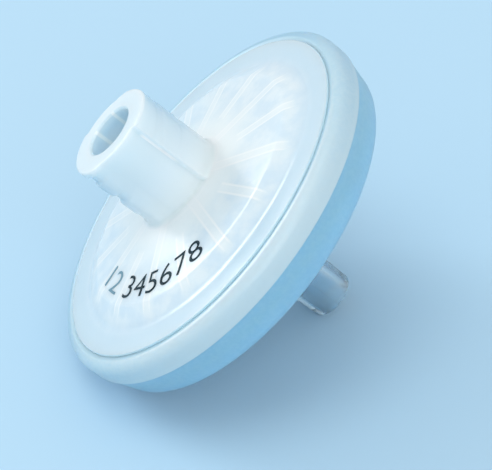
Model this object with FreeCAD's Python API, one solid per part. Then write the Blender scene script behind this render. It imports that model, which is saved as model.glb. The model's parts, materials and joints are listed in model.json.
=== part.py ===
import FreeCAD, Part

import math
import os

# A disposable syringe filter for clearing small volumes of liquid.  Liquid
# enters by the female luer lock hub, spreads over a round membrane and leaves
# by the male luer nozzle.  The housing is two moulded polypropylene shells
# that clamp the membrane, gripped at the rim by a third, overmoulded ring.
#
# Each piece is built about its own axis: +Z points out of the inlet hub, +X
# lies on the seam line of the hub, and z = 0 is the middle of the membrane.
# At the end the whole filter is laid on its rim and nozzle, as it comes to
# rest on a table, with the origin under the middle of its box.

Vector = FreeCAD.Vector
AXIS = Vector(0, 0, 1)

# ---------------------------------------------------------------- sizes (mm)
membrane_diameter = 25.0
membrane_thickness = 0.2
membrane_clearance = 0.05   # between the membrane's edge and its seat

clamp_width = 1.2           # band of membrane held between the two shells
flange_overhang = 2.7       # shell flange beyond the edge of the membrane
ring_wall = 0.8             # ring outside the flange
ring_lip = 0.3              # ring over the flange, at the face
groove_width = 0.15         # gap between the face and the ring's lip

face_height = 1.75          # flat rim of the inlet face, above the membrane
face_proud = 0.1            # face above the top of the ring
flange_top = 0.9            # top of the inlet flange, under the ring's lip
slope_foot_inset = 2.25     # from the face's edge to the foot of the slope
slope_run = 1.7             # width of the slope
slope_rise = 0.8            # height of the slope
crown_rise = 0.75           # from the top of the slope up to the hub
edge_round = 0.15

ring_step_height = -0.4     # height of the small step round the ring
ring_step = 0.1
ring_bottom = -3.45
ring_bottom_round = 1.05
ring_draft = 0.45           # inward lean of the ring's lower wall
ring_foot = 0.45            # flat foot inside the bottom round

hub_length = 7.3            # from the crown to the mouth
hub_tube_radius = 3.6
lug_radius = 3.95
lug_gap_angle = 53.0        # plain sector of the hub on its seam line
lug_chamfer = 0.2
hub_foot = 0.4
thread_lead = 5.0           # two starts, so turns are half of this apart
thread_depth = 0.25
thread_width = 1.0
thread_length = 4.6
thread_angle = 98.0         # where a groove crosses thread_drop below the mouth
thread_drop = 1.35

luer_half_taper = 0.03      # radius change for each millimetre, a 6 % taper
luer_bore_radius = 2.15
luer_bore_chamfer = 0.35
luer_bore_depth = 7.2
luer_land = 0.3             # short straight land at each end of a luer taper
inlet_passage_radius = 1.0

chamber_height_rim = 0.9    # ceiling over the membrane at the clamp
chamber_height_hub = 1.55   # ceiling over the membrane at the passage
inlet_rib_gap = 0.15        # ribs stop short of the membrane
rib_width = 0.7
rib_count = 8               # long ribs, with as many short ones between
long_rib_start = 2.2
short_rib_start = 6.0
rib_overlap = 0.2

outlet_channel_depth = 0.6
outlet_ring_radii = (4.2, 7.7)
outlet_ring_gap = 1.1
outlet_flange_thickness = 1.6
outlet_passage_radius = 1.05
nozzle_length = 7.5
nozzle_tip_radius = 1.98
nozzle_tip_round = 0.2
nozzle_reach = 13.75        # from the membrane's middle to the tip
collar_radius = 3.0
collar_chamfer = 0.5
gusset_count = 8
gusset_width = 1.0
gusset_depth = 1.25

rest_turn = 104.0           # from the hub's seam line to the side lain on

# ---------------------------------------------------- sizes worked out of them
membrane_radius = membrane_diameter / 2
half_membrane = membrane_thickness / 2
seat_radius = membrane_radius + membrane_clearance
chamber_radius = membrane_radius - clamp_width
flange_radius = membrane_radius + flange_overhang
housing_radius = flange_radius + ring_wall
lip_radius = flange_radius - ring_lip
face_radius = lip_radius - groove_width
foot_radius = face_radius - slope_foot_inset
plateau_radius = foot_radius - slope_run
plateau_height = face_height + slope_rise
crown_height = plateau_height + crown_rise
mouth_height = crown_height + hub_length
bore_bottom_height = mouth_height - luer_bore_chamfer - luer_bore_depth
ring_top = face_height - face_proud
shoulder_radius = ring_wall + ring_lip
shoulder_end = ring_top - shoulder_radius
flange_bottom = -half_membrane - outlet_flange_thickness
channel_floor = -half_membrane - outlet_channel_depth
nozzle_tip_height = -nozzle_reach
nozzle_root_height = nozzle_tip_height + nozzle_length
nozzle_taper_length = nozzle_length - nozzle_tip_round - 2 * luer_land
nozzle_root_radius = nozzle_tip_radius + luer_half_taper * nozzle_taper_length
bore_taper_length = luer_bore_depth - 2 * luer_land
bore_bottom_radius = luer_bore_radius - luer_half_taper * bore_taper_length
core_radius = (inlet_passage_radius + bore_bottom_radius) / 2
mid_wall_radius = (luer_bore_radius + hub_tube_radius) / 2
round_center_radius = housing_radius - ring_step - ring_draft - ring_bottom_round
round_center_height = ring_bottom + ring_bottom_round
ring_inner_radius = round_center_radius - ring_foot


# ------------------------------------------------------------------- helpers
def point(radius, height):
    """A point of a section, in the plane of +X and the axis."""
    return Vector(radius, 0, height)


def line(start, end):
    return Part.LineSegment(start, end).toShape()


def quarter_arc(center, start, end):
    """The shorter arc about a centre from one point to another."""
    middle = (start - center) + (end - center)
    middle.Length = (start - center).Length
    return Part.Arc(start, center + middle, end).toShape()


def turned(edges, angle=360.0):
    """The solid that a closed section sweeps about the axis."""
    section = Part.Face(Part.Wire(Part.__sortEdges__(edges)))
    solid = section.revolve(Vector(0, 0, 0), AXIS, angle)
    if solid.Volume < 0:
        solid.reverse()
    return solid


def turned_polygon(corners, angle=360.0):
    points = [point(radius, height) for radius, height in corners]
    ends = points[1:] + points[:1]
    return turned([line(start, end) for start, end in zip(points, ends)], angle)


def rotated(shape, angle):
    copy = shape.copy()
    copy.rotate(Vector(0, 0, 0), AXIS, angle)
    return copy


def radial_bar(inner, outer, width, bottom, top, angle):
    """A straight bar along a radius, such as a rib."""
    corner = Vector(inner, -width / 2, bottom)
    return rotated(Part.makeBox(outer - inner, width, top - bottom, corner), angle)


def crown_at(radius):
    """Height of the face's shallow cone at a radius."""
    share = (plateau_radius - radius) / (plateau_radius - lug_radius)
    return plateau_height + crown_rise * share


# --------------------------------------------------------------- inlet shell
def inlet_plate():
    """The face: flat rim, slope, shallow cone, and the chamber under it.

    The section ends at core_radius, inside the bore that is cut later.
    """
    corner = point(face_radius - edge_round, face_height - edge_round)
    edge_low = point(face_radius, face_height - edge_round)
    edge_high = point(face_radius - edge_round, face_height)
    outline = [
        edge_high,
        point(foot_radius, face_height),
        point(plateau_radius, plateau_height),
        point(core_radius, crown_at(core_radius)),
        point(core_radius, bore_bottom_height),
        point(inlet_passage_radius, bore_bottom_height),
        point(inlet_passage_radius, chamber_height_hub),
        point(chamber_radius, chamber_height_rim),
        point(chamber_radius, half_membrane),
        point(seat_radius, half_membrane),
        point(seat_radius, -half_membrane),
        point(flange_radius, -half_membrane),
        point(flange_radius, flange_top),
        point(face_radius, flange_top),
        edge_low,
    ]
    edges = [line(start, end) for start, end in zip(outline, outline[1:])]
    edges.append(quarter_arc(corner, edge_low, edge_high))
    return turned(edges)


def hub_tube():
    """The tube of the luer hub, with its tapered bore left solid."""
    return turned_polygon([
        (0, bore_bottom_height),
        (hub_tube_radius, bore_bottom_height),
        (hub_tube_radius, mouth_height),
        (0, mouth_height),
    ])


def luer_bore():
    """The 6 % tapered socket, its two lands and the lead at its mouth."""
    lead_height = mouth_height - luer_bore_chamfer
    return turned_polygon([
        (0, bore_bottom_height),
        (bore_bottom_radius, bore_bottom_height),
        (bore_bottom_radius, bore_bottom_height + luer_land),
        (luer_bore_radius, lead_height - luer_land),
        (luer_bore_radius, lead_height),
        (luer_bore_radius + luer_bore_chamfer, mouth_height),
        (0, mouth_height),
    ])


def hub_lug():
    """One wide lug of the luer lock, from the face to the mouth."""
    top = mouth_height - edge_round
    foot_radius_out = lug_radius + hub_foot
    span = 180.0 - lug_gap_angle
    body = turned_polygon([
        (mid_wall_radius, bore_bottom_height),
        (foot_radius_out, bore_bottom_height),
        (foot_radius_out, crown_at(foot_radius_out)),
        (lug_radius, crown_at(lug_radius) + hub_foot),
        (lug_radius, top - lug_chamfer),
        (lug_radius - lug_chamfer, top),
        (mid_wall_radius, top),
    ], span)
    return rotated(body, lug_gap_angle / 2)


def thread_groove():
    """One start of the lock thread, cut as a shallow helical groove.

    Its section is a trapezium, thread_width wide where it meets the lug's face.
    """
    start = mouth_height - thread_length
    helix = Part.makeHelix(thread_lead, thread_length + thread_width, lug_radius)
    helix.translate(Vector(0, 0, start))
    inner = lug_radius - thread_depth
    outer = lug_radius + thread_depth
    half_in = thread_width / 4
    half_out = thread_width * 3 / 4
    corners = [
        point(inner, start - half_in),
        point(outer, start - half_out),
        point(outer, start + half_out),
        point(inner, start + half_in),
    ]
    section = Part.makePolygon(corners + corners[:1])
    groove = Part.Wire(helix.Edges).makePipeShell([section], True, True)
    climb = 360.0 * (thread_length - thread_drop) / thread_lead
    return rotated(groove, thread_angle - climb)


def inlet_ribs():
    """Ribs under the face that spread the liquid over the membrane."""
    bottom = half_membrane + inlet_rib_gap
    outer = chamber_radius + rib_overlap
    step = 360.0 / rib_count
    ribs = []
    for index in range(rib_count):
        angle = index * step
        top = chamber_height_hub + rib_overlap
        ribs.append(radial_bar(long_rib_start, outer, rib_width, bottom, top, angle))
        angle += step / 2
        ribs.append(radial_bar(short_rib_start, outer, rib_width, bottom, top, angle))
    return ribs


def inlet_shell():
    grooves = [thread_groove(), rotated(thread_groove(), 180.0)]
    lug = hub_lug()
    lugs = [lug, rotated(lug, 180.0)]
    lugs = [piece.cut(grooves) for piece in lugs]
    shell = inlet_plate().fuse([hub_tube()] + lugs + inlet_ribs())
    return shell.cut(luer_bore()).removeSplitter()


# ------------------------------------------------------------------ membrane
def membrane():
    return Part.makeCylinder(membrane_radius, membrane_thickness, point(0, -half_membrane))


# -------------------------------------------------------------- outlet shell
def outlet_plate():
    """The support plate, its collar and the tapered nozzle, without the bore."""
    tip_center = point(nozzle_tip_radius - nozzle_tip_round, nozzle_tip_height + nozzle_tip_round)
    tip_low = point(nozzle_tip_radius - nozzle_tip_round, nozzle_tip_height)
    tip_high = point(nozzle_tip_radius, nozzle_tip_height + nozzle_tip_round)
    outline = [
        tip_high,
        point(nozzle_tip_radius, nozzle_tip_height + nozzle_tip_round + luer_land),
        point(nozzle_root_radius, nozzle_root_height - luer_land),
        point(nozzle_root_radius, nozzle_root_height),
        point(collar_radius - collar_chamfer, nozzle_root_height),
        point(collar_radius, nozzle_root_height + collar_chamfer),
        point(collar_radius, flange_bottom),
        point(flange_radius, flange_bottom),
        point(flange_radius, -half_membrane),
        point(chamber_radius, -half_membrane),
        point(chamber_radius, channel_floor),
        point(0, channel_floor),
        point(0, nozzle_tip_height),
        tip_low,
    ]
    edges = [line(start, end) for start, end in zip(outline, outline[1:])]
    edges.append(quarter_arc(tip_center, tip_low, tip_high))
    return turned(edges)


def outlet_ribs():
    """Ribs and broken rings that hold the membrane off the plate."""
    bottom = channel_floor - rib_overlap
    top = -half_membrane
    outer = chamber_radius + rib_overlap
    step = 360.0 / rib_count
    ribs = []
    for index in range(rib_count):
        angle = index * step
        ribs.append(radial_bar(long_rib_start, outer, rib_width, bottom, top, angle))
        angle += step / 2
        ribs.append(radial_bar(short_rib_start, outer, rib_width, bottom, top, angle))
    return ribs


def outlet_rings():
    """Arcs of rib between the long ribs, with a gap beside each rib."""
    bottom = channel_floor - rib_overlap
    top = -half_membrane
    step = 360.0 / rib_count
    arcs = []
    for radius in outlet_ring_radii:
        inner = radius - rib_width / 2
        outer = radius + rib_width / 2
        trim = math.degrees((outlet_ring_gap + rib_width / 2) / radius)
        section = [(inner, bottom), (outer, bottom), (outer, top), (inner, top)]
        arc = turned_polygon(section, step - 2 * trim)
        arcs += [rotated(arc, index * step + trim) for index in range(rib_count)]
    return arcs


def gussets():
    """Webs from the collar out under the plate."""
    bottom = flange_bottom - gusset_depth
    top = flange_bottom + rib_overlap
    inner = collar_radius - rib_overlap
    outer = ring_inner_radius - edge_round
    step = 360.0 / gusset_count
    return [
        radial_bar(inner, outer, gusset_width, bottom, top, index * step)
        for index in range(gusset_count)
    ]


def outlet_shell():
    passage = Part.makeCylinder(
        outlet_passage_radius,
        nozzle_reach,
        point(0, nozzle_tip_height),
    )
    shell = outlet_plate().fuse(outlet_ribs() + outlet_rings() + gussets())
    return shell.cut(passage).removeSplitter()


# -------------------------------------------------------------- sealing ring
def sealing_ring():
    """The overmoulded ring: lip, round shoulder, small step, leaning wall."""
    lip_top = point(lip_radius, ring_top)
    shoulder_center = point(lip_radius, shoulder_end)
    shoulder_low = point(housing_radius, shoulder_end)
    round_center = point(round_center_radius, round_center_height)
    round_high = point(round_center_radius + ring_bottom_round, round_center_height)
    round_low = point(round_center_radius, ring_bottom)
    upper = [
        shoulder_low,
        point(housing_radius, ring_step_height),
        point(housing_radius - ring_step, ring_step_height - ring_step),
        round_high,
    ]
    lower = [
        round_low,
        point(ring_inner_radius, ring_bottom),
        point(ring_inner_radius, flange_bottom),
        point(flange_radius, flange_bottom),
        point(flange_radius, flange_top),
        point(lip_radius, flange_top),
        lip_top,
    ]
    edges = [line(start, end) for start, end in zip(upper, upper[1:])]
    edges += [line(start, end) for start, end in zip(lower, lower[1:])]
    edges.append(quarter_arc(shoulder_center, lip_top, shoulder_low))
    edges.append(quarter_arc(round_center, round_high, round_low))
    return turned(edges)


# ------------------------------------------------------------- lying at rest
def rest_tilt():
    """Lean of the axis when the ring's round and the nozzle's tip both touch.

    A round of the section stands at height z cos(tilt) - r sin(tilt) - round
    over the table on the low side.  The tilt makes the two heights equal.
    """
    drop = round_center_height - (nozzle_tip_height + nozzle_tip_round)
    reach = round_center_radius - (nozzle_tip_radius - nozzle_tip_round)
    difference = ring_bottom_round - nozzle_tip_round
    span = math.hypot(drop, reach)
    return math.acos(difference / span) - math.atan2(reach, drop)


def laid_down(shape):
    """Turn a piece to its resting side, lean it, and set it on the table."""
    tilt = rest_tilt()
    sine = math.sin(tilt)
    cosine = math.cos(tilt)
    low_x = round_center_height * sine - round_center_radius * cosine - ring_bottom_round
    high_x = shoulder_end * sine + lip_radius * cosine + shoulder_radius
    low_z = round_center_height * cosine - round_center_radius * sine - ring_bottom_round
    piece = rotated(shape, rest_turn)
    piece.rotate(Vector(0, 0, 0), Vector(0, 1, 0), math.degrees(tilt))
    piece.translate(Vector(-(low_x + high_x) / 2, 0, -low_z))
    return piece


pieces = {
    "inlet_shell": inlet_shell(),
    "membrane": membrane(),
    "outlet_shell": outlet_shell(),
    "sealing_ring": sealing_ring(),
}

os.makedirs("parts", exist_ok=True)
for name, piece in pieces.items():
    laid_down(piece).exportStep("parts/" + name + ".step")
    print(name, "volume", round(piece.Volume, 1), "solids", len(piece.Solids), piece.isValid())

print("rest tilt in degrees", round(math.degrees(rest_tilt()), 2))
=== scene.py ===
# %% [markdown]
# # A disposable syringe filter in Blender
#
# The real thing is a small round disc of milky plastic.  Two polypropylene
# shells clamp a thin white membrane between them, and a third moulding, the
# ring, grips both at the rim.  A hub on one side takes a syringe, a nozzle on
# the other side takes a needle.
#
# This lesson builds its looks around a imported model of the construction.  The
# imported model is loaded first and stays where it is: everything below takes
# its place and its lean from it.

# %% Load the construction
import json
import math

import bmesh
import bpy
import numpy as np
from mathutils import Matrix, Vector


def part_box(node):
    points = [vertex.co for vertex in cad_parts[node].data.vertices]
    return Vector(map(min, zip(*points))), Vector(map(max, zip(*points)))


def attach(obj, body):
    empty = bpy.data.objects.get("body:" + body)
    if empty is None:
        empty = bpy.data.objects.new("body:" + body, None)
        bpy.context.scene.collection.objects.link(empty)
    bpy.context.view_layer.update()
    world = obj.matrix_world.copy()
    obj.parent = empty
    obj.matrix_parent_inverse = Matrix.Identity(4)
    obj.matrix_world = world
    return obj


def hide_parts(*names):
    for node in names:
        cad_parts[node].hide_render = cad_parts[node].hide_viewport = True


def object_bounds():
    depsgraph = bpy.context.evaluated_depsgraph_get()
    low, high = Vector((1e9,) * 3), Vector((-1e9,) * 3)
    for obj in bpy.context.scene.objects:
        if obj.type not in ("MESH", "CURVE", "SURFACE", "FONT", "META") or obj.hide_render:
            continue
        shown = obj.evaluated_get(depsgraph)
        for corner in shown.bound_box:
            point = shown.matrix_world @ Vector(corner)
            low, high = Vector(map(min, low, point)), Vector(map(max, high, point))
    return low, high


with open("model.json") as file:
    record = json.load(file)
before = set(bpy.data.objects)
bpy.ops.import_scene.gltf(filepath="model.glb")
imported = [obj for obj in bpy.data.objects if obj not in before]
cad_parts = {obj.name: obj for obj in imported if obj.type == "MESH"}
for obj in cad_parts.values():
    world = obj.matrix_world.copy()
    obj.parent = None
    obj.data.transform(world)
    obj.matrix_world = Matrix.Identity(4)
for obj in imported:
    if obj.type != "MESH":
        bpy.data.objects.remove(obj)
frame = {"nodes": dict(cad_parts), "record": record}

cad_low, cad_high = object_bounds()
print("construction box in mm", [round(size * 1000, 2) for size in cad_high - cad_low])
print("nodes", sorted(frame["nodes"]))

# %% [markdown]
# ## The filter's own axis
#
# The filter lies on its rim and its nozzle, so its axis leans.  It is far
# easier to draw a turned thing upright: +Z out of the hub, +X on the hub's
# seam line, and zero in the middle of the membrane, in millimetres.  One
# matrix then lays every piece down.  Its lean is the axis of the hub's socket,
# and its origin is the middle of the membrane.

# %% From the filter's own axis to the table
MM = 0.001
seam_turn = 104.0  # degrees from the side lain on to the hub's seam line

socket = next(mount for mount in frame["record"]["mounts"] if mount["name"] == "luer_inlet")
socket_axis = Vector(socket["axis"]).normalized()
lean = math.atan2(socket_axis.x, socket_axis.z)
membrane_low, membrane_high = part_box("membrane")
middle = (membrane_low + membrane_high) / 2

upright_to_table = (
    Matrix.Translation(middle)
    @ Matrix.Rotation(lean, 4, "Y")
    @ Matrix.Rotation(math.radians(seam_turn), 4, "Z")
)
lay_down = upright_to_table @ Matrix.Scale(MM, 4)
print("the axis leans", round(math.degrees(lean), 2), "degrees")

# %% [markdown]
# ## The camera
#
# The camera looks down at the hub's side from a little way off, with a long
# lens, so the round rim stays close to an ellipse.  It is tilted a little to
# one side, as a hand-held camera is.

# %% Camera
view_azimuth = 179.65      # degrees; 0 looks along +Y
view_elevation = 33.90
view_roll = 9.76           # degrees, clockwise as seen from behind the camera
view_distance = 143.34     # mm from the camera to the filter's middle
filter_left = 2.40         # mm that the filter's middle sits left of the picture's
filter_above = 1.96        # and above it
camera_lens = 132.2        # mm on a sensor 36 mm wide

azimuth, elevation = math.radians(view_azimuth), math.radians(view_elevation)
toward_camera = Vector((
    math.sin(azimuth) * math.cos(elevation),
    -math.cos(azimuth) * math.cos(elevation),
    math.sin(elevation),
))
camera_turn = toward_camera.to_track_quat("Z", "Y").to_matrix().to_4x4()
camera_turn = camera_turn @ Matrix.Rotation(math.radians(-view_roll), 4, "Z")
camera_right = camera_turn.col[0].to_3d()
camera_up = camera_turn.col[1].to_3d()
aim = (cad_low + cad_high) / 2 + (filter_left * camera_right - filter_above * camera_up) * MM
camera_place = Matrix.Translation(aim + toward_camera * view_distance * MM)

camera_data = bpy.data.cameras.new("camera")
camera_data.lens = camera_lens
camera_data.sensor_width = 36.0
camera_data.clip_start = 0.005
camera_data.clip_end = 20.0
camera = bpy.data.objects.new("camera", camera_data)
bpy.context.scene.collection.objects.link(camera)
camera.matrix_world = camera_place @ camera_turn
bpy.context.scene.camera = camera
print("camera stands at", [round(value * 1000, 1) for value in camera.matrix_world.translation])

# %% [markdown]
# ## Colours and nodes
#
# Colours are written as sRGB hex and turned to linear light once, here.  One
# small function adds a node with its settings and its links, for shaders and
# for geometry alike.

# %% Colour and node helpers
def linear(hex_colour):
    """An sRGB hex colour as linear red, green, blue and alpha."""
    channels = [int(hex_colour[i:i + 2], 16) / 255 for i in (1, 3, 5)]
    curved = [c / 12.92 if c <= 0.04045 else ((c + 0.055) / 1.055) ** 2.4 for c in channels]
    return (*curved, 1.0)


def add(tree, kind, inputs=None, **settings):
    """Adds a node. Inputs go by name or number, and each is a value, a socket or a node."""
    node = tree.nodes.new(kind)
    for name, value in settings.items():
        setattr(node, name, value)
    for key, value in (inputs or {}).items():
        if isinstance(value, bpy.types.Node):
            value = value.outputs[0]
        if isinstance(value, bpy.types.NodeSocket):
            tree.links.new(value, node.inputs[key])
        else:
            node.inputs[key].default_value = value
    return node


print("white paper in linear light", [round(c, 3) for c in linear("#F4F8FC")[:3]])


# %% [markdown]
# ## Sizes
#
# The sizes repeat the construction's, in millimetres, because this lesson
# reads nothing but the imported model.  Heights are measured from the middle of
# the membrane, along the axis.

# %% Sizes in millimetres
housing_radius = 16.0
flange_radius = 15.2
flange_top = 0.9            # the ring's lip lies just above it
face_radius = 14.75
foot_radius = 12.5          # foot of the face's slope
plateau_radius = 10.8       # top of the slope, where the shallow cone begins
face_height = 1.75
plateau_height = 2.55
hub_root = 3.3              # where the shallow cone meets the hub
mouth_height = 10.6
tube_radius = 3.6
lug_radius = 3.95
lug_gap_angle = 53.0        # plain sector of the hub on its seam line
thread_lead = 5.0           # two starts, half of this apart
thread_depth = 0.25
thread_width = 1.0
thread_phase = 98.0         # where a groove's middle is thread_drop below the mouth
thread_drop = 1.35
bore_mouth_radius = 2.15
bore_end_radius = 1.952
bore_end_height = 3.05
passage_radius = 1.0
chamber_radius = 11.3
chamber_edge = 0.9          # height of the chamber's roof at its edge
membrane_radius = 12.5
membrane_half = 0.1         # half of the film's thickness
rib_count = 8               # long ribs; as many short ones stand between them
rib_thickness = 0.7
rib_bottom = 0.25
rib_top = 1.75
long_rib_start = 2.2
short_rib_start = 6.0
rib_tip = 11.5


def cone_height(radius):
    """Height of the face's shallow cone."""
    share = (plateau_radius - radius) / (plateau_radius - lug_radius)
    return plateau_height + (hub_root - plateau_height) * share


def smooth(edge_low, edge_high, value):
    """0 below one edge, 1 above the other and a smooth rise between."""
    share = np.clip((value - edge_low) / (edge_high - edge_low), 0.0, 1.0)
    return share * share * (3 - 2 * share)


print("the cone is", round(cone_height(lug_radius), 2), "mm high where it meets the hub")

# %% [markdown]
# ## Finished pieces
#
# Every piece is drawn upright in millimetres and then laid down in its own
# mesh, so its object stays at the origin.  It rides on the one body that the
# filter has, and takes the place of its construction piece.

# %% A new piece and its edges
def edge_uses(mesh):
    """How many faces use each edge."""
    uses = np.zeros(len(mesh.edges), int)
    links = np.zeros(len(mesh.loops), int)
    mesh.loops.foreach_get("edge_index", links)
    np.add.at(uses, links, 1)
    return uses


def new_piece(name, corners, faces):
    """A mesh object from corner points and faces."""
    mesh = bpy.data.meshes.new(name)
    mesh.from_pydata([tuple(corner) for corner in corners], [], faces)
    piece = bpy.data.objects.new(name, mesh)
    bpy.context.scene.collection.objects.link(piece)
    return piece


print("a millimetre is drawn as 1 and laid down as", MM)

# %% Laying a piece down
weld_distance = 0.002       # mm


def lay(piece, sharp_angle=40.0):
    """Lays an upright piece down, closes its doubles and turns its faces outward."""
    edit = bmesh.new()
    edit.from_mesh(piece.data)
    bmesh.ops.remove_doubles(edit, verts=edit.verts, dist=weld_distance)
    bmesh.ops.transform(edit, matrix=lay_down, verts=edit.verts)
    bmesh.ops.recalc_face_normals(edit, faces=edit.faces)
    edit.to_mesh(piece.data)
    edit.free()
    piece.data.shade_smooth()
    piece.data.set_sharp_from_angle(angle=math.radians(sharp_angle))
    open_edges = sum(1 for count in edge_uses(piece.data) if count != 2)
    print(piece.name, len(piece.data.polygons), "faces,", open_edges, "open edges")
    return piece


print("pieces are laid down by", [round(value, 4) for value in lay_down.to_translation()])

# %% [markdown]
# ## Pieces that are turned
#
# A ring or a plate has one section all the way round.  The section is a loop
# of corners, each with its own round.  Geometry Nodes round the corners and
# sweep the loop round the axis, so the piece follows its section.

# %% A node tree that turns a section
def named_input(tree, name, kind):
    """A named input of a node tree; gives its socket's identifier back."""
    return tree.interface.new_socket(name, in_out="INPUT", socket_type=kind).identifier


turning = bpy.data.node_groups.new("turned_section", "GeometryNodeTree")
named_input(turning, "Section", "NodeSocketGeometry")
turn_steps = named_input(turning, "Turn steps", "NodeSocketInt")
round_steps = named_input(turning, "Round steps", "NodeSocketInt")
turned_paint = named_input(turning, "Material", "NodeSocketMaterial")
turning.interface.new_socket("Piece", in_out="OUTPUT", socket_type="NodeSocketGeometry")
sweep_radius = 1.0          # of the circle that carries the section round

given = add(turning, "NodeGroupInput")
loop = add(turning, "GeometryNodeMeshToCurve", {"Mesh": given.outputs["Section"]})
corner_round = add(
    turning, "GeometryNodeInputNamedAttribute", {"Name": "round"}, data_type="FLOAT")
rounded = add(turning, "GeometryNodeFilletCurve", {
    "Curve": loop,
    "Count": given.outputs["Round steps"],
    "Radius": corner_round,
    "Limit Radius": True,
}, mode="POLY")
path = add(turning, "GeometryNodeCurvePrimitiveCircle", {
    "Resolution": given.outputs["Turn steps"],
    "Radius": sweep_radius,
})
swept = add(turning, "GeometryNodeCurveToMesh", {"Curve": path, "Profile Curve": rounded})
merged = add(turning, "GeometryNodeRealizeInstances", {"Geometry": swept})
painted = add(turning, "GeometryNodeSetMaterial", {
    "Geometry": merged,
    "Material": given.outputs["Material"],
})
add(turning, "NodeGroupOutput", {"Piece": painted})
print(turning.name, "has", len(turning.nodes), "nodes")

# %% Running a node tree
def grown(piece, tree, values):
    """Runs a node tree on a piece and keeps the plain mesh that comes out."""
    modifier = piece.modifiers.new(tree.name, "NODES")
    modifier.node_group = tree
    for identifier, value in values.items():
        modifier[identifier] = value
    view = bpy.context.evaluated_depsgraph_get()
    mesh = bpy.data.meshes.new_from_object(piece.evaluated_get(view), depsgraph=view)
    piece.modifiers.remove(modifier)
    mesh.name = piece.name
    piece.data = mesh
    return piece


def turned(name, section, paint, steps=256, corner_steps=5):
    """A turned piece from (radius, height, round) corners in a closed loop."""
    flat = [(radius - sweep_radius, -height, 0.0) for radius, height, _ in section]
    piece = new_piece(name, flat, [])
    count = len(section)
    piece.data.edges.add(count)
    ends = [end for i in range(count) for end in (i, (i + 1) % count)]
    piece.data.edges.foreach_set("vertices", ends)
    rounds = piece.data.attributes.new("round", "FLOAT", "POINT")
    rounds.data.foreach_set("value", [corner for _, _, corner in section])
    return grown(piece, turning, {
        turn_steps: steps, round_steps: corner_steps, turned_paint: paint})


print("a turned piece takes the inputs", turn_steps, round_steps, "and", turned_paint)

# %% [markdown]
# ## Milky polypropylene
#
# All the mouldings are natural polypropylene: no dye, half clear, with a milky
# bloom from tiny crystals.  Light goes a millimetre or two into it before it
# comes out, so thin places look clear and thick ones white, and edges glow.
# The shader takes that as subsurface light under a clear skin, with a share
# that goes straight through.  The refractive index is polypropylene's own.
#
# The mould is spark-eroded, which leaves a fine frost on the skin.  The real
# grain is finer than 0.1 mm and would not show, so it is drawn three times as
# coarse.  Every pattern is measured in millimetres on the filter's own upright
# axes, which a Mapping node gets back from object coordinates.

# %% Upright millimetres inside a material
def upright(tree):
    """Upright coordinates in millimetres: x, y, z, radius and angle as sockets."""
    where = add(tree, "ShaderNodeTexCoord")
    placed = add(tree, "ShaderNodeMapping", {
        "Vector": where.outputs["Object"],
        "Location": middle,
        "Rotation": upright_to_table.to_euler(),
        "Scale": (MM, MM, MM),
    }, vector_type="TEXTURE")
    parts = add(tree, "ShaderNodeSeparateXYZ", {0: placed})
    flat = add(tree, "ShaderNodeCombineXYZ", {0: parts.outputs[0], 1: parts.outputs[1]})
    radius = add(tree, "ShaderNodeVectorMath", {0: flat}, operation="LENGTH")
    angle = add(tree, "ShaderNodeMath", {
        0: parts.outputs[1], 1: parts.outputs[0]}, operation="ARCTAN2")
    return {
        "place": placed.outputs[0],
        "height": parts.outputs[2],
        "radius": radius.outputs["Value"],
        "angle": angle.outputs[0],
    }


print("patterns are measured from", [round(value / MM, 2) for value in middle], "mm")

# %% The skin that the mould leaves
grain_size = 0.3125         # mm, the frost
flow_size = 3.333           # mm, slow unevenness where the melt flowed
flow_relief = 2.5           # times as deep as the grain
frost_depth = 0.012         # mm
smoother, rougher = 0.02, 0.04              # what the flow does to the roughness
noise_low, noise_high = 0.3, 0.7            # a noise mostly stays between these
polypropylene_index = 1.49
print("the frost is", grain_size, "mm across and", frost_depth, "mm deep")

# %% The plastic of every moulding
def new_material(name):
    """A new material with its node tree and its upright coordinates."""
    paint = bpy.data.materials.new(name)
    paint.use_nodes = True
    return paint, paint.node_tree, upright(paint.node_tree)


def polypropylene(tree, colour, at, clear, glow_depth, roughness=0.22, frost=0.5):
    """Finishes a moulded polypropylene; the colour is a socket, sizes are in mm."""
    shader = tree.nodes["Principled BSDF"]
    grain = add(tree, "ShaderNodeTexNoise", {
        "Vector": at["place"], "Scale": 1 / grain_size, "Detail": 1.0, "Roughness": 0.5})
    flow = add(tree, "ShaderNodeTexNoise", {
        "Vector": at["place"], "Scale": 1 / flow_size, "Detail": 1.0})
    uneven = add(tree, "ShaderNodeMapRange", {
        "Value": flow, "From Min": noise_low, "From Max": noise_high,
        "To Min": roughness - smoother, "To Max": roughness + rougher})
    relief = add(tree, "ShaderNodeMath", {
        0: flow, 1: flow_relief, 2: grain}, operation="MULTIPLY_ADD")
    skin_bump = add(tree, "ShaderNodeBump", {
        "Height": relief, "Strength": frost, "Distance": frost_depth * MM})
    tree.links.new(colour, shader.inputs["Base Color"])
    tree.links.new(uneven.outputs[0], shader.inputs["Roughness"])
    tree.links.new(skin_bump.outputs[0], shader.inputs["Normal"])
    shader.inputs["IOR"].default_value = polypropylene_index
    shader.inputs["Transmission Weight"].default_value = clear
    shader.inputs["Subsurface Weight"].default_value = 1.0
    shader.inputs["Subsurface Radius"].default_value = (1.0, 1.0, 1.0)
    shader.inputs["Subsurface Scale"].default_value = glow_depth * MM
    print("a plastic with", len(tree.nodes), "nodes; light goes", glow_depth, "mm into it")


print("the plastic's refractive index is", polypropylene_index)
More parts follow.
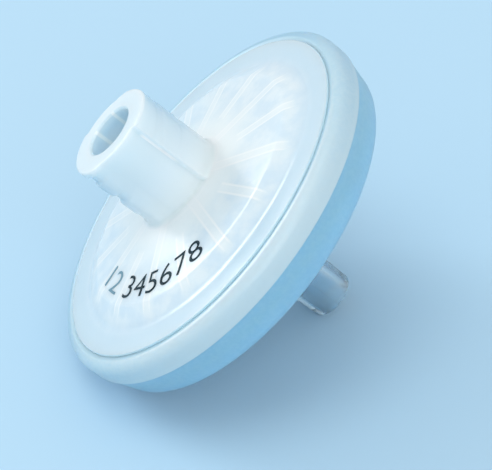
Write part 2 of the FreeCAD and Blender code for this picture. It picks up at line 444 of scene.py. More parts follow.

# %% [markdown]
# ## The face and the hub
#
# Seen from outside, the ribs under the face are two pale lines each, where
# light is caught along their corners, with a paler strip between.  Both are
# painted light, a painted highlight in the shell's colour.  The ribs repeat, so
# the angle is folded back on itself at every rib, and the distance from the
# nearest one is the radius times the sine of what is left.

# %% Where the painted highlights over the ribs lie
rib_step = math.tau / rib_count
rib_side = 0.38             # mm from a rib's middle to its pale line
line_gone, line_full = 0.14, 0.03           # mm from the pale line's own middle
strip_gone, strip_full = 0.45, 0.30         # mm from the rib's middle
tip_gone, tip_full = 11.9, 11.1             # mm from the axis
line_share, strip_share = 0.75, 0.45        # how far each goes to its own colour
long_line_start, short_line_start = 2.4, 6.0
start_fade = 0.5            # mm over which a line begins
print("ribs are seen every", round(math.degrees(rib_step) / 2, 1), "degrees")

# %% Painted highlights over the ribs
shell_paint, shell_tree, at = new_material("natural_polypropylene_shell")
swing = add(shell_tree, "ShaderNodeMath", {
    0: at["angle"], 1: rib_step / 2}, operation="PINGPONG")
short_swing = add(shell_tree, "ShaderNodeMath", {
    0: rib_step / 2, 1: swing}, operation="SUBTRACT")
rib_painted_lines = []
for side_swing, start in ((swing, long_line_start), (short_swing, short_line_start)):
    leaning = add(shell_tree, "ShaderNodeMath", {0: side_swing}, operation="SINE")
    off = add(shell_tree, "ShaderNodeMath", {
        0: leaning, 1: at["radius"]}, operation="MULTIPLY")
    from_side = add(shell_tree, "ShaderNodeMath", {0: off, 1: rib_side}, operation="SUBTRACT")
    from_side = add(shell_tree, "ShaderNodeMath", {0: from_side}, operation="ABSOLUTE")
    strip = add(shell_tree, "ShaderNodeMapRange", {
        "Value": off, "From Min": strip_gone, "From Max": strip_full, "To Max": strip_share,
    }, interpolation_type="SMOOTHSTEP")
    line = add(shell_tree, "ShaderNodeMapRange", {
        "Value": from_side, "From Min": line_gone, "From Max": line_full,
        "To Max": line_share,
    }, interpolation_type="SMOOTHSTEP")
    begins = add(shell_tree, "ShaderNodeMapRange", {
        "Value": at["radius"], "From Min": start, "From Max": start + start_fade,
    }, interpolation_type="SMOOTHSTEP")
    both = add(shell_tree, "ShaderNodeMath", {0: strip, 1: line}, operation="ADD")
    rib_painted_lines.append(add(shell_tree, "ShaderNodeMath", {
        0: both, 1: begins}, operation="MULTIPLY"))
# Painted highlights over the ribs: both lines and the strip between them.
ribs_painted_light = add(shell_tree, "ShaderNodeMath", {
    0: rib_painted_lines[0], 1: rib_painted_lines[1]}, operation="MAXIMUM")
ribs_end = add(shell_tree, "ShaderNodeMapRange", {
    "Value": at["radius"], "From Min": tip_gone, "From Max": tip_full,
}, interpolation_type="SMOOTHSTEP")
ribs_painted_light = add(shell_tree, "ShaderNodeMath", {
    0: ribs_painted_light, 1: ribs_end}, operation="MULTIPLY")
print("the shell's material has", len(shell_tree.nodes), "nodes so far")

# %% [markdown]
# Three more lines catch light, and are painted as highlights in the colour: the
# sharp edge of each lug, the round at the hub's foot, and inside the bore, where
# the wall behind it gets thicker at both edges of a lug.  Each is a band about one
# distance, so the distance from it is taken without its sign.

# %% Painted highlights on the hub
past_seam = add(shell_tree, "ShaderNodeMath", {
    0: at["angle"], 1: math.pi / 2, 2: -math.pi / 2}, operation="WRAP")
from_seam = add(shell_tree, "ShaderNodeMath", {0: past_seam}, operation="ABSOLUTE")
lug_edge = math.radians(27.0)
foot_highlight_radius = 4.3
lug_highlight_ends = ((5.6, 6.6), (9.9, 9.4))    # heights where it is gone and where it is full

# Each has a measure, its place, the widths at which it is gone and full, and a
# strength.  Angles are in radians, the radius is in mm.
# Painted highlights, one for each of these lines.
hub_highlights = []
for measure, place, gone, full, strength in (
    (past_seam, lug_edge, 0.032, 0.012, 0.9),
    (at["radius"], foot_highlight_radius, 0.25, 0.08, 0.5),
    (from_seam, lug_edge, 0.10, 0.04, 0.75),
):
    off = add(shell_tree, "ShaderNodeMath", {0: measure, 1: place}, operation="SUBTRACT")
    off = add(shell_tree, "ShaderNodeMath", {0: off}, operation="ABSOLUTE")
    hub_highlights.append(add(shell_tree, "ShaderNodeMapRange", {
        "Value": off, "From Min": gone, "From Max": full, "To Max": strength,
    }, interpolation_type="SMOOTHSTEP"))
lug_highlight, foot_highlight, bore_highlight = hub_highlights
for gone, full in lug_highlight_ends:
    along = add(shell_tree, "ShaderNodeMapRange", {
        "Value": at["height"], "From Min": gone, "From Max": full,
    }, interpolation_type="SMOOTHSTEP")
    lug_highlight = add(shell_tree, "ShaderNodeMath", {
        0: lug_highlight, 1: along}, operation="MULTIPLY")
print("the hub has", len(hub_highlights), "kinds of pale line")

# %% [markdown]
# The colours then go over one another like washes, each with a share that
# rises smoothly between two sizes.  The cloudy wash is the plastic's own
# uneven tone; most of the others paint light and shade.  The face is whitest
# near the hub, where it is thickest, and painted light there also lifts the
# hub's shadow.  Beyond the white membrane it is painted bluer, as shade, and a
# painted blue light lies on the narrow side that faces the ring.  The hub is
# whitest where it meets the face and painted bluer toward its mouth, where its
# wall stands free, as shade; its mouth's rim is painted bluer too, as shade.
# Its bore is painted lighter the deeper it goes, as light.  The hub is painted
# whiter on its +X side, as light, and bluer on the other, as shade.

# %% Where each wash of the inlet shell goes
cloud_size = 1.667          # mm
cloud = add(shell_tree, "ShaderNodeTexNoise", {
    "Vector": at["place"], "Scale": 1 / cloud_size, "Detail": 3.0, "Roughness": 0.55})
# Facing +X: the side where light is painted; shade is painted on the other.
lit_side = add(shell_tree, "ShaderNodeMath", {0: at["angle"]}, operation="COSINE")
shares = {}
for name, measure, none, full in (
    ("cloudy", cloud, 0.35, 0.65),
    # painted light near the hub, over its shadow
    ("painted light round the hub", at["radius"], 8.8, 4.6),
    # painted shade beyond the membrane
    ("painted shade past the membrane", at["radius"], 11.6, 13.4),
    # painted blue light on the face's side beside the groove
    ("at the rim", at["radius"], 14.62, 14.74),
    ("on the hub", at["height"], 3.2, 3.5),
    # painted shade toward the hub's mouth
    ("painted shade up the hub", at["height"], 3.4, 8.0),
    # painted light on the +X side, shade on the other
    ("painted light on the +X side", lit_side, -0.3, 0.9),
    # painted shade on the mouth's rim
    ("painted shade at the mouth", at["height"], 10.35, 10.5),
    ("in the bore", at["radius"], 2.45, 2.2),
    # painted light, lighter deeper in the bore
    ("painted light down the bore", at["height"], 9.9, 7.4),
):
    shares[name] = add(shell_tree, "ShaderNodeMapRange", {
        "Value": measure, "From Min": none, "From Max": full,
    }, interpolation_type="SMOOTHSTEP")

bore_highlight = add(shell_tree, "ShaderNodeMath", {
    0: bore_highlight, 1: shares["in the bore"]}, operation="MULTIPLY")
print("the inlet shell has", len(shares), "zones")

# %% Colour of the inlet shell
# The hub's painted light on its +X side and painted shade on the other.
hub_light_and_shade = add(shell_tree, "ShaderNodeMix", {
    0: shares["painted light on the +X side"], 6: linear("#BFDFF0"), 7: linear("#E0EDF2"),
}, data_type="RGBA").outputs[2]
# Painted light in the bore, lighter the deeper it goes.
bore_painted_light = add(shell_tree, "ShaderNodeMix", {
    0: shares["painted light down the bore"], 6: linear("#D2E8F3"), 7: linear("#F6FBFE"),
}, data_type="RGBA").outputs[2]

# Washes of painted highlight, painted light and painted shade over the plastic's cloudy tone.
shell_colour = linear("#D9EAF5")
for share, wash in (
    (shares["cloudy"], linear("#E5F1F9")),
    (shares["painted light round the hub"], linear("#EDF6FC")),
    (ribs_painted_light, linear("#F2F9FE")),
    (shares["painted shade past the membrane"], linear("#CCE3EF")),
    (shares["at the rim"], linear("#C0E5FF")),
    (shares["on the hub"], linear("#EBF5FB")),
    (shares["painted shade up the hub"], hub_light_and_shade),
    (lug_highlight, linear("#F6FCFF")),
    (shares["painted shade at the mouth"], linear("#DFEDF3")),
    (foot_highlight, linear("#F2FAFF")),
    (shares["in the bore"], bore_painted_light),
    (bore_highlight, linear("#F0F9FE")),
):
    shell_colour = add(shell_tree, "ShaderNodeMix", {
        0: share, 6: shell_colour, 7: wash}, data_type="RGBA").outputs[2]
polypropylene(shell_tree, shell_colour, at, clear=0.15, glow_depth=1.2)

# %% [markdown]
# ## The colour of the ring
#
# The ring is the same plastic, a millimetre thick and open below, so more of
# what is behind it comes through and it looks bluer.  Its wall and its side
# away from +X are painted bluer still, as shade, and its +X side paler, as
# painted light.  Its mould has a coarser frost, which shows as a fine speckle.
# The corner where the shoulder turns into the wall is a painted highlight, a
# pale line.  The narrow groove beside the face is painted blue, as painted
# light that stands for light which has gone through plastic on both sides.

# %% Colour of the ring
speckle_size = 0.3846       # mm
ring_paint, ring_tree, at = new_material("natural_polypropylene_ring")
speckle = add(ring_tree, "ShaderNodeTexNoise", {
    "Vector": at["place"], "Scale": 1 / speckle_size, "Detail": 2.0, "Roughness": 0.6})
# Facing +X: the side where light is painted; shade is painted on the other.
lit_side = add(ring_tree, "ShaderNodeMath", {0: at["angle"]}, operation="COSINE")
shares = {}
for name, measure, none, full, most in (
    ("speckled", speckle, noise_low, noise_high, 1.0),
    # painted light on the +X side
    ("painted light on the +X side", lit_side, 0.4, 1.0, 0.8),
    # painted shade away from +X
    ("painted shade away from +X", lit_side, 0.5, -0.5, 0.9),
    # a painted highlight where the shoulder turns into the wall
    ("painted highlight at the corner", at["height"], 0.15, -0.15, 0.4),
    # painted blue light beside the face
    ("painted blue light in the groove", at["radius"], 15.25, 15.0, 1.0),
    # painted shade on the ring's wall
    ("painted shade on the wall", at["height"], -0.34, -0.46, 1.0),
):
    shares[name] = add(ring_tree, "ShaderNodeMapRange", {
        "Value": measure, "From Min": none, "From Max": full, "To Max": most,
    }, interpolation_type="SMOOTHSTEP")

# The wall's painted shade, with the speckle of the frost.
wall_shade_and_speckle = add(ring_tree, "ShaderNodeMix", {
    0: shares["speckled"], 6: linear("#A3D6EF"), 7: linear("#ACDBF2"),
}, data_type="RGBA").outputs[2]
ring_colour = linear("#C8E6F5")
for share, wash in (
    (shares["speckled"], linear("#D0EAF7")),
    (shares["painted light on the +X side"], linear("#E0F0F6")),
    (shares["painted shade away from +X"], linear("#A4D2EA")),
    (shares["painted highlight at the corner"], linear("#DDF1FB")),
    (shares["painted blue light in the groove"], linear("#C0E5FF")),
    (shares["painted shade on the wall"], wall_shade_and_speckle),
):
    ring_colour = add(ring_tree, "ShaderNodeMix", {
        0: share, 6: ring_colour, 7: wash}, data_type="RGBA").outputs[2]
polypropylene(ring_tree, ring_colour, at, clear=0.3, glow_depth=0.8, roughness=0.33, frost=0.9)

# %% [markdown]
# ## The outlet shell and the membrane
#
# The plate of the outlet shell is as milky as the rest.  Its nozzle is nearly
# clear, because its wall is thin and its mould is polished.  The
# membrane is a cast film, matt white, full of pores far too fine to see, so
# its noise is drawn coarser than they are.  Both construction pieces have the
# right shape already and only get their materials.

# %% Colour of the outlet shell
plate_clear, nozzle_clear = 0.3, 0.88       # the share of light that goes straight through
plate_end, nozzle_start = -3.0, -7.0        # heights between which it rises

outlet_paint, outlet_tree, at = new_material("natural_polypropylene_outlet")
down_nozzle = add(outlet_tree, "ShaderNodeMapRange", {
    "Value": at["height"], "From Min": plate_end, "From Max": nozzle_start,
}, interpolation_type="SMOOTHSTEP")
outlet_colour = add(outlet_tree, "ShaderNodeMix", {
    0: down_nozzle, 6: linear("#DCEEF8"), 7: linear("#D6ECF8")}, data_type="RGBA").outputs[2]
polypropylene(outlet_tree, outlet_colour, at, clear=nozzle_clear, glow_depth=0.6)
outlet_clear = add(outlet_tree, "ShaderNodeMapRange", {
    "Value": down_nozzle, "To Min": plate_clear, "To Max": nozzle_clear})
outlet_shader = outlet_tree.nodes["Principled BSDF"]
outlet_tree.links.new(outlet_clear.outputs[0], outlet_shader.inputs["Transmission Weight"])

# %% Colour of the membrane
pore_size = 0.1667          # mm
pore_depth = 0.01           # mm

membrane_paint, film_tree, at = new_material("cast_membrane_film")
pores = add(film_tree, "ShaderNodeTexNoise", {
    "Vector": at["place"], "Scale": 1 / pore_size, "Detail": 4.0})
film_colour = add(film_tree, "ShaderNodeMix", {
    0: pores, 6: linear("#EAF3F9"), 7: linear("#F4FAFD")}, data_type="RGBA").outputs[2]
film_bump = add(film_tree, "ShaderNodeBump", {
    "Height": pores, "Strength": 0.4, "Distance": pore_depth * MM})
film_shader = film_tree.nodes["Principled BSDF"]
film_tree.links.new(film_colour, film_shader.inputs["Base Color"])
film_tree.links.new(film_bump.outputs[0], film_shader.inputs["Normal"])
film_shader.inputs["Roughness"].default_value = 0.75

for name, paint in (("outlet_shell", outlet_paint), ("membrane", membrane_paint)):
    node = frame["nodes"][name]
    for index in range(len(node.data.materials)):
        node.data.materials[index] = paint
    print(name, "is now", paint.name)


# %% [markdown]
# ## The inlet shell
#
# The face is one moulding with the hub.  Below the face it is a turned plate;
# the hub is a tube with two wide lugs that carry the lock thread, and plain
# gaps between them on the mould's seam line.  One closed grid follows the
# section round the axis.  Each row of it knows its radius in a gap and on a
# lug, and a smooth mask goes from one to the other.  It rises sharply on one
# side of a lug and runs out softly on the other.  The thread is two shallow
# helical grooves in the lugs, fainter on the gate's side, +X, and toward the
# foot.

# %% Where the lugs and the thread grooves are
shell_steps = 512
turn = np.linspace(0.0, 360.0, shell_steps, endpoint=False)
past_lug = turn % 180.0 - 90.0
lug_half_angle = (180.0 - lug_gap_angle) / 2
sharp_side, soft_side = 4.2, 26.0           # degrees over which a lug's side rises
side_angle = np.where(past_lug < 0, sharp_side, soft_side)
on_lug = 1.0 - smooth(lug_half_angle - side_angle, lug_half_angle + 0.4, np.abs(past_lug))
groove_floor = 0.25 * thread_width          # half of its flat floor
groove_edge = 0.56 * thread_width           # half of its whole width
start_of_thread = (96.0, 124.0)             # degrees round, faint up to here
end_of_thread = (283.0, 312.0)              # degrees round, faint from here
foot_of_thread = (mouth_height - 4.7, mouth_height - 4.1)


def groove_depth(height):
    """Depth of the thread's groove at a height, for each step round the hub."""
    climb = thread_lead * (turn - thread_phase) / 360.0
    middle_height = mouth_height - thread_drop + climb
    off = (height - middle_height) % (thread_lead / 2)
    off = np.minimum(off, thread_lead / 2 - off)
    depth = 1.0 - smooth(groove_floor, groove_edge, off)
    faint_start = 0.85 * (1.0 - smooth(*start_of_thread, turn))
    faint_end = 0.7 * smooth(*end_of_thread, turn)
    fading = 0.3 + 0.7 * smooth(*foot_of_thread, height)
    return thread_depth * depth * (1.0 - faint_start - faint_end) * fading * on_lug


deepest = groove_depth(mouth_height - thread_drop).max()
print("the thread is", round(deepest, 2), "mm deep and", thread_lead, "mm a turn")

# %% [markdown]
# The rows of the section follow.  Rounds are short arcs, because moulded
# plastic has no sharp outer corner, and a round is what catches the light.

# %% Rows and rounded corners
rows = []                   # each row is (radii, heights), one of each per step


def row(radius, height):
    """One row; a plain number is the same all the way round."""
    rows.append((radius + 0.0 * turn, height + 0.0 * turn))


def rounded_corner(before, corner, after, radius, steps=5):
    """Rows of an arc that rounds a corner of the section."""
    corner = np.array(corner, float)
    out = [np.array(end, float) - corner for end in (before, after)]
    out = [way / np.linalg.norm(way) for way in out]
    half = math.acos(np.clip(out[0] @ out[1], -1, 1)) / 2
    reach = radius / math.tan(half)
    center = corner + (out[0] + out[1]) / np.linalg.norm(out[0] + out[1]) * radius / math.sin(half)
    start, end = corner + out[0] * reach - center, corner + out[1] * reach - center
    span = math.acos(np.clip(start @ end / radius ** 2, -1, 1))
    for step in range(steps + 1):
        share = step / steps
        point = (
            math.sin((1 - share) * span) * start + math.sin(share * span) * end
        ) / math.sin(span) + center
        row(*point)


print("a row goes round in", shell_steps, "steps")

# %% The plate's rows
def rows_along(corners):
    """Rows along a run of (radius, height, round) corners."""
    for index, (radius, height, corner) in enumerate(corners):
        if corner:
            before, after = corners[index - 1][:2], corners[index + 1][:2]
            rounded_corner(before, (radius, height), after, corner)
        else:
            row(radius, height)


cone_end = 5.2              # radius of the last plain row before the hub's foot
plate = [
    (flange_radius, -membrane_half, 0.0),
    (flange_radius, flange_top, 0.0),
    (face_radius, flange_top, 0.0),
    (face_radius, face_height, 0.1),
    (foot_radius, face_height, 1.6),
    (plateau_radius, plateau_height, 1.3),
    (cone_end, cone_height(cone_end), 0.0),
]
rows_along(plate)
print("the plate has", len(rows), "rows")

# %% [markdown]
# The hub rises from the cone with a fillet at its foot.  Its wall needs many
# rows, because the thread's grooves climb across them, and the mouth's rim is
# rounded, more on a lug than in a gap.

# %% The hub's outside
gap_foot_round, lug_foot_round = 0.3, 0.45
gap_mouth_round, lug_mouth_round = 0.12, 0.18
foot_steps, wall_steps, mouth_steps = 5, 88, 6

hub_radius = tube_radius + (lug_radius - tube_radius) * on_lug
foot_round = gap_foot_round + (lug_foot_round - gap_foot_round) * on_lug
foot_height = cone_height(hub_radius + foot_round)
row(hub_radius + foot_round + 0.3, cone_height(hub_radius + foot_round + 0.3))
for step in range(foot_steps + 1):
    swing = math.radians(90.0 * step / foot_steps)
    row(
        hub_radius + foot_round * (1 - math.sin(swing)),
        foot_height + foot_round * (1 - math.cos(swing)),
    )
wall_start = foot_height + foot_round
mouth_round = gap_mouth_round + (lug_mouth_round - gap_mouth_round) * on_lug
wall_end = mouth_height - mouth_round
for step in range(1, wall_steps + 1):
    height = wall_start + (wall_end - wall_start) * step / wall_steps
    row(hub_radius - groove_depth(height), height)
for step in range(1, mouth_steps + 1):
    swing = math.radians(90.0 * step / mouth_steps)
    row(
        hub_radius - mouth_round * (1 - math.cos(swing)),
        mouth_height - mouth_round * (1 - math.sin(swing)),
    )

print("with the hub's outside there are", len(rows))

# %% [markdown]
# Inside, the bore narrows by 6 in 100, as every luer socket does, and grips a
# syringe's tip by its taper alone.  Below it a narrow passage opens into the
# chamber over the membrane, and the rim clamps the membrane's edge.

# %% The bore and the chamber
rim_inside = tube_radius - 0.3              # a row on the mouth's flat rim
bore_chamfer = 0.12
bore_chamfer_depth = 0.15
bore_land = 0.65            # depth at which the straight land at the mouth ends
bore_ease = 0.3             # the last of the bore is straight again
passage_end = 1.55          # height at which the passage opens into the chamber
film_recess_radius = membrane_radius + 0.05

inside = [
    (rim_inside, mouth_height, 0.0),
    (bore_mouth_radius + bore_chamfer, mouth_height, 0.05),
    (bore_mouth_radius, mouth_height - bore_chamfer_depth, 0.1),
    (bore_mouth_radius, mouth_height - bore_land, 0.0),
    (bore_end_radius, bore_end_height + bore_ease, 0.0),
    (bore_end_radius, bore_end_height, 0.12),
    (passage_radius, bore_end_height, 0.08),
    (passage_radius, passage_end, 0.08),
    (chamber_radius, chamber_edge, 0.1),
    (chamber_radius, membrane_half, 0.0),
    (film_recess_radius, membrane_half, 0.0),
    (film_recess_radius, -membrane_half, 0.0),
]
rows_along(inside)

print("the inlet shell has", len(rows), "rows of", shell_steps, "steps")


# %% [markdown]
# The rows become one closed skin.  Round the axis and along the section the
# grid closes on itself, since the bore goes right through, so there is no pole.

# %% The skin of the inlet shell
radii = np.array([radius for radius, _ in rows])
heights = np.array([height for _, height in rows])
angles = np.radians(turn)
skin = np.stack([radii * np.cos(angles), radii * np.sin(angles), heights], axis=-1)
row_count = len(rows)
skin_faces = [
    (
        i * shell_steps + j,
        i * shell_steps + (j + 1) % shell_steps,
        (i + 1) % row_count * shell_steps + (j + 1) % shell_steps,
        (i + 1) % row_count * shell_steps + j,
    )
    for i in range(row_count)
    for j in range(shell_steps)
]
inlet = new_piece("inlet_housing", skin.reshape(-1, 3), skin_faces)
print("skin", len(inlet.data.polygons), "faces")

# %% [markdown]
# ## Ribs under the face
#
# Inside, ribs spread the liquid over the membrane and stop just short of it:
# long ones from the passage out, and a short one between each two.  They show
# through the milky face as paler spokes, which the shell's colour also paints
# as light.  They repeat round the axis, so a node tree makes one bar, sets
# copies of it on two circles and joins them to the shell as the mould does.

# %% A node tree that adds ribs
ribbing = bpy.data.node_groups.new("ribs_round_an_axis", "GeometryNodeTree")
named_input(ribbing, "Shell", "NodeSocketGeometry")
rib_values = {
    named_input(ribbing, "Ribs", "NodeSocketInt"): rib_count,
    named_input(ribbing, "Width", "NodeSocketFloat"): rib_thickness,
    named_input(ribbing, "Long start", "NodeSocketFloat"): long_rib_start,
    named_input(ribbing, "Short start", "NodeSocketFloat"): short_rib_start,
    named_input(ribbing, "End", "NodeSocketFloat"): rib_tip,
    named_input(ribbing, "Low", "NodeSocketFloat"): rib_bottom,
    named_input(ribbing, "High", "NodeSocketFloat"): rib_top,
    named_input(ribbing, "Material", "NodeSocketMaterial"): shell_paint,
}
ribbing.interface.new_socket("Piece", in_out="OUTPUT", socket_type="NodeSocketGeometry")

given = add(ribbing, "NodeGroupInput")
size_high = add(ribbing, "ShaderNodeMath", {
    0: given.outputs["High"], 1: given.outputs["Low"]}, operation="SUBTRACT")
mid_high = add(ribbing, "ShaderNodeMath", {
    0: given.outputs["High"], 1: given.outputs["Low"]}, operation="ADD")
mid_high = add(ribbing, "ShaderNodeMath", {0: mid_high, 1: 0.5}, operation="MULTIPLY")
print(ribbing.name, "takes", len(rib_values), "values and a shell")

# %% [markdown]
# The bars of a circle are one bar on as many points, each turned by its
# number.  The short ones are half a step further round.

# %% Bars on two circles
rib_rings = []
for start, half_step in (("Long start", 0.0), ("Short start", 0.5)):
    length = add(ribbing, "ShaderNodeMath", {
        0: given.outputs["End"], 1: given.outputs[start]}, operation="SUBTRACT")
    middle_at = add(ribbing, "ShaderNodeMath", {
        0: given.outputs["End"], 1: given.outputs[start]}, operation="ADD")
    middle_at = add(ribbing, "ShaderNodeMath", {0: middle_at, 1: 0.5}, operation="MULTIPLY")
    bar_size = add(ribbing, "ShaderNodeCombineXYZ", {
        0: length, 1: given.outputs["Width"], 2: size_high})
    bar_place = add(ribbing, "ShaderNodeCombineXYZ", {0: middle_at, 2: mid_high})
    bar = add(ribbing, "GeometryNodeMeshCube", {"Size": bar_size})
    bar = add(ribbing, "GeometryNodeTransform", {"Geometry": bar, "Translation": bar_place})
    spots = add(ribbing, "GeometryNodePoints", {"Count": given.outputs["Ribs"]})
    number = add(ribbing, "GeometryNodeInputIndex")
    number = add(ribbing, "ShaderNodeMath", {0: number, 1: half_step}, operation="ADD")
    share = add(ribbing, "ShaderNodeMath", {
        0: number, 1: given.outputs["Ribs"]}, operation="DIVIDE")
    swing = add(ribbing, "ShaderNodeMath", {0: share, 1: math.tau}, operation="MULTIPLY")
    swing = add(ribbing, "ShaderNodeCombineXYZ", {2: swing})
    rib_rings.append(add(ribbing, "GeometryNodeInstanceOnPoints", {
        "Points": spots, "Instance": bar, "Rotation": swing}))
print("bars stand on", len(rib_rings), "circles")

# %% Joining the bars to the shell
bars = add(ribbing, "GeometryNodeJoinGeometry")
for ring_of_ribs in rib_rings:
    ribbing.links.new(ring_of_ribs.outputs[0], bars.inputs[0])
bars = add(ribbing, "GeometryNodeRealizeInstances", {"Geometry": bars})
united = add(ribbing, "GeometryNodeMeshBoolean", operation="UNION", solver="MANIFOLD")
for solid in (given.outputs["Shell"], bars.outputs[0]):
    ribbing.links.new(solid, united.inputs["Mesh 2"])
united = add(ribbing, "GeometryNodeRealizeInstances", {"Geometry": united})
painted = add(ribbing, "GeometryNodeSetMaterial", {
    "Geometry": united, "Material": given.outputs["Material"]})
add(ribbing, "NodeGroupOutput", {"Piece": painted})

inlet = grown(inlet, ribbing, rib_values)
lay(inlet)
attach(inlet, "root")
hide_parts("inlet_shell")

# %% [markdown]
# ## The ring
#
# A third moulding wraps both rims.  It is a plain turned section: a lip beside
# the face, a big round shoulder, a small step where the mould parts, and a
# wall that leans in to a rounded foot.  Each corner is (radius, height, round).

# %% The ring
seam_gap = 0.02             # hair gap to the shells, so no two skins coincide
ring_section = [
    (14.74, flange_top + seam_gap, 0.0),       # the lip, against the face's side
    (14.74, 1.57, 0.03),
    (15.12, 1.65, 0.2),
    (housing_radius, 1.65, 1.04),              # the shoulder
    (housing_radius, -0.4, 0.08),              # the step
    (15.9, -0.5, 0.1),
    (15.2, -3.45, 1.05),                       # the foot
    (13.95, -3.45, 0.12),
    (13.95, -1.7 - seam_gap, 0.0),             # under the outlet shell's flange
    (flange_radius + seam_gap, -1.7 - seam_gap, 0.0),
    (flange_radius + seam_gap, flange_top + seam_gap, 0.0),
]
ring = lay(turned("rim_ring", ring_section, ring_paint, steps=384), sharp_angle=50.0)
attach(ring, "root")
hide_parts("sealing_ring")


# %% [markdown]
# ## Printed numbers
#
# The face carries a few plain numbers, pad-printed round the axis with their
# tops to the hub.  The pad gave less ink at the start of the line.  They are
# made as flat text, turned to a mesh and bent on to the shallow cone.

# %% The numbers on the face
print_low, print_high = 10.15, 8.25         # radii of the line's foot and top
print_start, print_end = -90.0, -9.0        # degrees round the axis
ink_thickness = 0.012
ink_clearance = 0.006       # a hair above the face
thinner_stroke = -0.006     # of the font's size
longest_edge = 0.2          # of the font's size, before it is bent

numbers_text = bpy.data.curves.new("numbers", "FONT")
numbers_text.body = "12 345678"
numbers_text.extrude = ink_thickness / 2
numbers_text.resolution_u = 6
numbers_text.offset = thinner_stroke
numbers_line = bpy.data.objects.new("numbers_line", numbers_text)
bpy.context.scene.collection.objects.link(numbers_line)
view = bpy.context.evaluated_depsgraph_get()
numbers_mesh = bpy.data.meshes.new_from_object(numbers_line.evaluated_get(view))
bpy.data.objects.remove(numbers_line)

print("the line of numbers has", len(numbers_mesh.polygons), "faces")

# %% [markdown]
# The flat line is cut finer, so that it can bend, and wrapped round the axis
# a hair above the cone: across becomes an angle and up becomes a radius.

# %% Wrapping the numbers round the axis
ink_edit = bmesh.new()
ink_edit.from_mesh(numbers_mesh)
bmesh.ops.triangulate(ink_edit, faces=ink_edit.faces)
long_edges = [edge for edge in ink_edit.edges if edge.calc_length() > longest_edge]
bmesh.ops.subdivide_edges(ink_edit, edges=long_edges, cuts=2)
line_left, line_right = (pick(c.co.x for c in ink_edit.verts) for pick in (min, max))
line_foot, line_top = (pick(c.co.y for c in ink_edit.verts) for pick in (min, max))
for corner in ink_edit.verts:
    across, up, out = corner.co
    up = (up - line_foot) / (line_top - line_foot)
    across = (across - line_left) / (line_right - line_left)
    radius = print_low + (print_high - print_low) * up
    swing = math.radians(print_start + (print_end - print_start) * across)
    height = cone_height(radius) + ink_thickness / 2 + ink_clearance + out
    corner.co = (radius * math.cos(swing), radius * math.sin(swing), height)
ink_edit.to_mesh(numbers_mesh)
ink_edit.free()
numbers = bpy.data.objects.new("printed_numbers", numbers_mesh)
bpy.context.scene.collection.objects.link(numbers)

print("numbers run", round(print_end - print_start), "degrees round the axis")

# %% [markdown]
# Pad printing leaves a thin matt ink.  The pad pressed unevenly, so the first
# numbers came out thin and grey, and the ink's share rises round the axis.

# %% Ink of the numbers
ink_paint, ink_tree, at = new_material("pad_printing_ink")
patch_size = 0.2            # mm, where the pad held less ink
thin_until, full_from = math.radians(-79.0), math.radians(-68.0)
wear_starts, wear_full, wear_share = 0.25, 0.6, 0.16

worn = add(ink_tree, "ShaderNodeTexNoise", {
    "Vector": at["place"], "Scale": 1 / patch_size, "Detail": 3.0})
full = add(ink_tree, "ShaderNodeMapRange", {
    "Value": at["angle"], "From Min": thin_until, "From Max": full_from,
}, interpolation_type="SMOOTHSTEP")
thin = add(ink_tree, "ShaderNodeMapRange", {
    "Value": worn, "From Min": wear_starts, "From Max": wear_full, "To Max": wear_share,
}, interpolation_type="SMOOTHSTEP")
ink_share = add(ink_tree, "ShaderNodeMath", {0: full, 1: thin}, operation="SUBTRACT")
ink_colour = add(ink_tree, "ShaderNodeMix", {
    0: ink_share, 6: linear("#6F93A3"), 7: linear("#0B1519")}, data_type="RGBA").outputs[2]
ink_shader = ink_tree.nodes["Principled BSDF"]
ink_tree.links.new(ink_colour, ink_shader.inputs["Base Color"])
ink_shader.inputs["Roughness"].default_value = 0.8
ink_shader.inputs["Specular IOR Level"].default_value = 0.15
numbers_mesh.materials.clear()
numbers_mesh.materials.append(ink_paint)
lay(numbers)
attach(numbers, "root")


# %% [markdown]
# ## Floor
#
# The filter lies on a plain pale sheet of matt paper, wide enough that its
# edge is never seen.

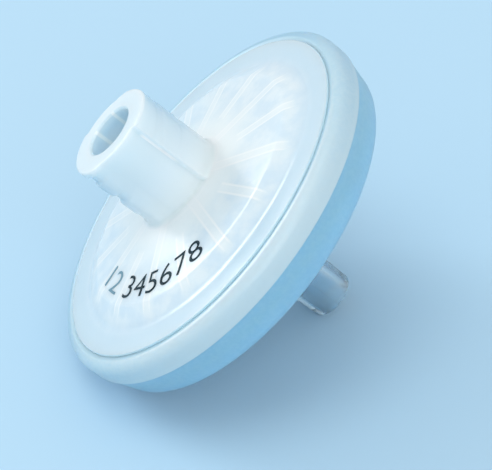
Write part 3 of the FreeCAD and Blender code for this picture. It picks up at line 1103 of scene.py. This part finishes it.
# %% Floor
floor_half = 3.0            # metres
floor_mesh = bpy.data.meshes.new("floor")
floor_edit = bmesh.new()
bmesh.ops.create_grid(floor_edit, x_segments=1, y_segments=1, size=floor_half)
floor_edit.to_mesh(floor_mesh)
floor_edit.free()
floor = bpy.data.objects.new("floor", floor_mesh)
floor.location.z = cad_low.z
bpy.context.scene.collection.objects.link(floor)

floor_paint = bpy.data.materials.new("matt_paper")
floor_paint.use_nodes = True
floor_shader = floor_paint.node_tree.nodes["Principled BSDF"]
floor_shader.inputs["Base Color"].default_value = linear("#B2D3E7")
floor_shader.inputs["Roughness"].default_value = 0.9
floor_shader.inputs["Specular IOR Level"].default_value = 0.1
floor_mesh.materials.append(floor_paint)
print("the floor lies", round(floor.location.z * 1000, 2), "mm from zero")

# %% [markdown]
# ## Light
#
# A pale sky lights everything softly.  A large lamp behind the filter, on the
# side its face leans to, draws the bright arc on the edge of the face's slope
# and casts the shadow.  One above and a broad one on the near side fill the
# ring's wall.  The lamps stand far off, so the floor is lit evenly.

# %% Sky and lamps
sky = bpy.data.worlds.new("sky")
sky.use_nodes = True
sky.node_tree.nodes["Background"].inputs["Color"].default_value = linear("#F4F8FC")
sky.node_tree.nodes["Background"].inputs["Strength"].default_value = 0.8
bpy.context.scene.world = sky
bpy.context.scene.view_settings.view_transform = "Standard"


def area_lamp(name, place, size, power):
    """A round soft lamp in watts, at a place in mm from the filter's middle, facing it."""
    lamp_data = bpy.data.lights.new(name, "AREA")
    lamp_data.shape = "DISK"
    lamp_data.size = size * MM
    lamp_data.energy = power
    lamp = bpy.data.objects.new(name, lamp_data)
    toward = Vector(place)
    lamp.location = middle + toward * MM
    lamp.rotation_mode = "QUATERNION"
    lamp.rotation_quaternion = toward.to_track_quat("Z", "Y")
    bpy.context.scene.collection.objects.link(lamp)
    print(name, "lamp is", round(toward.length), "mm away and", size, "mm wide")


area_lamp("key", (490, -410, 280), size=280, power=1.6)
area_lamp("top", (80, 120, 700), size=480, power=1.0)
area_lamp("fill", (-120, 660, 340), size=560, power=1.65)
